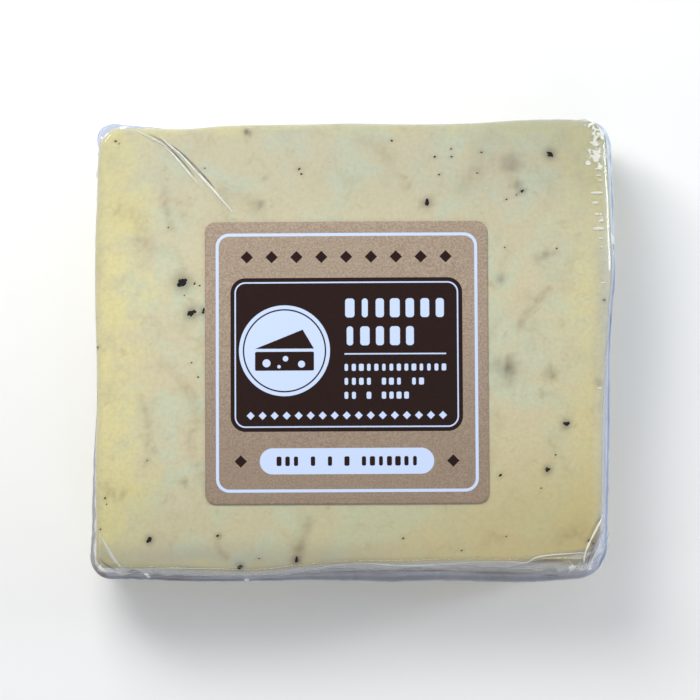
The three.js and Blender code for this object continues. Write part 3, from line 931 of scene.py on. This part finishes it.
def film_finish():
    """Clear film, mirroring more at a slant, and milky where it is sealed, gathered or creased; its milky
    layer
    also carries painted light: creamy white painted highlights on creases, ripples and glints where it is
    crumpled, a painted sky-blue reflection, and painted dusky shade.
    """
    paint = Finish("clear_film")
    place = paint.place()
    streaks = paint.noise(paint.place(stretch=(1, 1, 0.5)), 0.75, 3.0, 0.55)
    ripple = paint.noise(place, 0.3, 2.0, 0.5, 0.4)
    bump = paint.bump(streaks * 0.18 + ripple, 0.25, 0.3)
    facing = paint.node("ShaderNodeLayerWeight", sockets={"Blend": 0.5, "Normal": bump}, output=1)
    mirrored = 0.035 + 0.9 * facing ** 5.0
    clear = paint.node("ShaderNodeBsdfTransparent", sockets={"Color": (0.985, 0.99, 1.0, 1.0)})
    gloss = paint.node("ShaderNodeBsdfAnisotropic", sockets={
        "Color": (0.94, 0.97, 1.0, 1.0), "Roughness": 0.07, "Normal": bump})
    sheet = paint.node("ShaderNodeMixShader", sockets={0: mirrored, 1: clear, 2: gloss})
    # The milky layer's share and colour carry painted light: the painted light tone and the painted glints
    milk = paint.attribute("milk")
    tone = paint.attribute("tone")
    glint = paint.attribute("glint")
    # Painted glints: creamy white patches with ragged outlines round the listed glints
    glint_outline_noise = paint.noise(paint.place(offset=(11, 3, 7)), 0.85, 4.0, 0.65, 0.6)
    painted_glint = paint.ease(glint + 2.6 * (glint_outline_noise - 0.5), 0.46, 0.6) * paint.ease(glint, 0.0, 0.25)
    colour = paint.node("ShaderNodeValToRGB", {"stops": FILM_HAZE_AND_PAINTED_LIGHT}, {0: tone * 0.5 + 0.5})
    colour = paint.mix(painted_glint, colour, FILM_HAZE_AND_PAINTED_LIGHT[-1][1])
    haze_and_glint_share = milk * paint.ease(ripple, 0.3, 0.7, 0.88, 1.12) + painted_glint * 0.7
    haze_and_glint_share = paint.node("ShaderNodeClamp", sockets={0: haze_and_glint_share})
    haze_and_painted_light_layer = paint.node("ShaderNodeBsdfPrincipled", sockets={
        "Base Color": colour, "Roughness": 0.3, "Normal": bump, "Specular IOR Level": 0.3})
    return paint.output(paint.node("ShaderNodeMixShader", sockets={0: haze_and_glint_share, 1: sheet, 2: haze_and_painted_light_layer}))


def label_finish():
    """Brown paper with a plain print: a border line, a dark panel, a round emblem, bars and lozenges."""
    paint = Finish("paper_label")
    label_place = paint.place(offset=(LABEL_CENTRE[0], LABEL_CENTRE[1], 0), turn=LABEL_TURN)
    x, y, _z = paint.axes(label_place)

    def length(a, b):
        return (a * a + b * b) ** 0.5

    def box(centre_x, centre_y, half_x, half_y, radius=0.0):
        """How far a point lies outside a rounded box."""
        over_x = (x - centre_x).math("ABSOLUTE") - (half_x - radius)
        over_y = (y - centre_y).math("ABSOLUTE") - (half_y - radius)
        outside = length(over_x.math("MAXIMUM", 0.0), over_y.math("MAXIMUM", 0.0))
        return outside + over_x.math("MAXIMUM", over_y).math("MINIMUM", 0.0) - radius

    def inked(distance, soft=0.09):
        """1 inside a shape and 0 outside, from the distance outside it."""
        return paint.node("ShaderNodeClamp", sockets={0: 0.5 - distance / soft})

    def in_row(centre_y, half_height, start, end):
        return inked(box((start + end) / 2, centre_y, (end - start) / 2, half_height * 2))

    def bars(centre_y, half_height, start, end, count, seed, gaps):
        """A row of plain rounded bars of uneven widths, with some left out."""
        pitch = (end - start) / count
        run = (x - start) / pitch
        chance = paint.node("ShaderNodeTexWhiteNoise", {"noise_dimensions": "1D"}, {
            "W": run.math("FLOOR") + seed})
        over_x = ((run.math("FRACT") - 0.5).math("ABSOLUTE") - (chance * 0.14 + 0.2)) * pitch
        round_off = min(half_height, 0.2 * pitch)
        over_y = (y - centre_y).math("ABSOLUTE") - (half_height - round_off)
        outside = length((over_x + round_off).math("MAXIMUM", 0.0), over_y.math("MAXIMUM", 0.0)) - round_off
        shown = chance.math("GREATER_THAN", gaps)
        return inked(outside) * shown * in_row(centre_y, half_height, start, end)

    def lozenges(centre_y, half_size, start, end, count):
        """A row of lozenges."""
        pitch = (end - start) / count
        aside = (((x - start) / pitch).math("FRACT") - 0.5).math("ABSOLUTE") * pitch
        outside = (aside + (y - centre_y).math("ABSOLUTE") - half_size) * 0.7
        return inked(outside) * in_row(centre_y, half_size, start, end)

    def both(*masks):
        result = masks[0]
        for mask in masks[1:]:
            result = result.math("MAXIMUM", mask)
        return result

    grain = paint.noise(label_place, 2.7, 3.0, 0.7)
    fibre = paint.noise(paint.place(turn=0.5, stretch=(1.0, 0.3, 1)), 1.6, 4.0, 0.65)
    fibre_two = paint.noise(paint.place(turn=-0.8, stretch=(0.3, 1.0, 1)), 1.5, 4.0, 0.65)
    paper = paint.mix(paint.ease(grain, 0.34, 0.66), rgb(150, 130, 113), rgb(178, 161, 143))
    paper = paint.mix(paint.ease(fibre, 0.5, 0.72) * 0.4, paper, rgb(148, 127, 109))
    paper = paint.mix(paint.ease(fibre_two, 0.5, 0.72) * 0.4, paper, rgb(184, 166, 148))
    paper = paint.mix(paint.ease(y, 12.0, -22.0) * 0.35, paper, rgb(122, 103, 87))

    line = inked((box(*BORDER) + 0.3).math("ABSOLUTE") - 0.3)
    from_panel = box(*PANEL)
    panel = inked(from_panel)
    panel_line = inked((from_panel + 0.95).math("ABSOLUTE") - 0.14)
    from_x, from_y = x - EMBLEM_CENTRE[0], y - EMBLEM_CENTRE[1]
    from_emblem = length(from_x, from_y)
    disc = inked(from_emblem - EMBLEM_RADIUS)
    ring = inked((from_emblem - EMBLEM_RING).math("ABSOLUTE") - 0.15)
    cut_face = inked(box(EMBLEM_CENTRE[0], EMBLEM_CENTRE[1] - 2.1, 5.9, 1.9, 0.3))
    holes = both(*(inked(length(from_x - hole_x, from_y - hole_y) - radius)
                   for hole_x, hole_y, radius in WEDGE_HOLES))
    left_slope = (from_y - 0.4 - (from_x + 5.9) * 0.4) * 0.93
    right_slope = (from_y - 0.4 - (5.9 - from_x) * 1.7) * 0.5
    upper_face = inked((0.4 - from_y).math("MAXIMUM", left_slope).math("MAXIMUM", right_slope))
    emblem = both(ring, cut_face * (1 - holes), upper_face)
    heading = both(*(bars(*row) for row in HEADING))
    rule = inked((y - 1.7).math("ABSOLUTE") - 0.14) * in_row(1.7, 0.14, -0.4, 19.9)
    small = both(*(bars(*row) for row in SMALL_ROWS))
    studs = lozenges(-10.6, 0.8, -20.4, 20.4, 17)
    plate = inked(box(*PLATE))
    on_plate = bars(*PLATE_ROW)
    beside_plate = (x.math("ABSOLUTE") - LOZENGE_BESIDE).math("ABSOLUTE") + (y - PLATE[1]).math("ABSOLUTE")
    lozenge_row = lozenges(LOZENGE_ROW, LOZENGE_HALF, -22.4, 22.4, 9)
    on_paper = both(lozenge_row, inked(beside_plate - LOZENGE_HALF))

    colour = paint.mix(panel, paper, paint.mix(paint.ease(grain, 0.5, 0.75) * 0.4, DARK_INK, rgb(60, 44, 38)))
    colour = paint.mix(both(line, panel_line, disc, heading, rule, small, studs, plate), colour, SKY_TINTED_WHITE_INK)
    colour = paint.mix(both(emblem, on_plate, on_paper), colour, DARK_INK)
    bump = paint.bump(grain + fibre * 0.6, 0.06, 0.3)
    shader = paint.node("ShaderNodeBsdfPrincipled", sockets={
        "Base Color": colour, "Roughness": 0.6, "Normal": bump, "Specular IOR Level": 0.15})
    return paint.output(shader)


def floor_finish():
    paint = Finish("pale_floor")
    colour = paint.mix(paint.noise(paint.place(), 0.01, 2.0), *FLOOR_TONES)
    shader = paint.node("ShaderNodeBsdfPrincipled", sockets={"Base Color": colour, "Roughness": 0.7})
    return paint.output(shader)


# Stage

def aim(thing, target):
    thing.rotation_euler = (thing.location - target).to_track_quat("Z", "Y").to_euler()


def add_light(name, place, size, power, colour, mirrored=True):
    """Adds a soft lamp. One that isn't mirrored leaves no glint on the film."""
    lamp = bpy.data.lights.new(name, "AREA")
    lamp.shape = "RECTANGLE"
    lamp.size, lamp.size_y = size
    lamp.energy = power
    lamp.color = colour
    light = bpy.data.objects.new(name, lamp)
    light.location = place
    light.visible_camera = False
    light.visible_glossy = mirrored
    aim(light, Vector(LAMPS_AIM))
    bpy.context.scene.collection.objects.link(light)


def make_stage():
    mesh = bmesh.new()
    bmesh.ops.create_grid(mesh, x_segments=4, y_segments=4, size=FLOOR_SIZE)
    floor = finish_piece("floor", mesh)
    floor.data.materials.append(floor_finish())
    world = bpy.data.worlds.new("room")
    world.use_nodes = True
    background = world.node_tree.nodes["Background"]
    background.inputs["Color"].default_value = ROOM_COLOUR
    background.inputs["Strength"].default_value = ROOM_STRENGTH
    bpy.context.scene.world = world
    add_light("key", (-0.1, 0.18, 0.26), (0.16, 0.16), 0.6, (1.0, 0.99, 0.97), mirrored=False)
    add_light("corner", (-0.26, 0.25, 0.3), (0.12, 0.12), 0.3, (1.0, 1.0, 1.0))
    add_light("right strip", (0.6, 0.1, 0.14), (0.1, 0.4), 2.0, (0.9, 0.95, 1.0))
    add_light("left strip", (-0.6, -0.15, 0.25), (0.1, 0.4), 0.3, (0.95, 0.97, 1.0))
    add_light("front strip", (0.05, -0.55, 0.22), (0.5, 0.06), 0.6, (1.0, 0.97, 0.92))


def make_camera():
    """Nearly straight above, leaning a little to the front, as in the photograph."""
    lens = bpy.data.cameras.new("camera")
    lens.lens = LENS
    lens.sensor_width = SENSOR
    camera = bpy.data.objects.new("camera", lens)
    target = Vector(CAMERA_TARGET) * MM
    away = VIEW_WIDTH * MM * LENS / SENSOR
    camera.rotation_euler = [math.radians(angle) for angle in CAMERA_LEAN]
    camera.location = target + camera.rotation_euler.to_matrix() @ Vector((0, 0, away))
    bpy.context.scene.collection.objects.link(camera)
    bpy.context.scene.camera = camera
    bpy.context.scene.view_settings.view_transform = "Standard"


def dress(piece, finish, node=None):
    """Gives a piece its finish, and its place in the part."""
    piece.data.materials.append(finish)
    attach(piece, "root")
    if node:
        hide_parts(node)


make_camera()
make_stage()
dress(make_cheese(), cheese_finish(), "wrapped_cheese")
dress(make_flecks(), truffle_finish())
dress(make_film(), film_finish(), "wrapped_cheese")
dress(make_label(), label_finish(), "label")
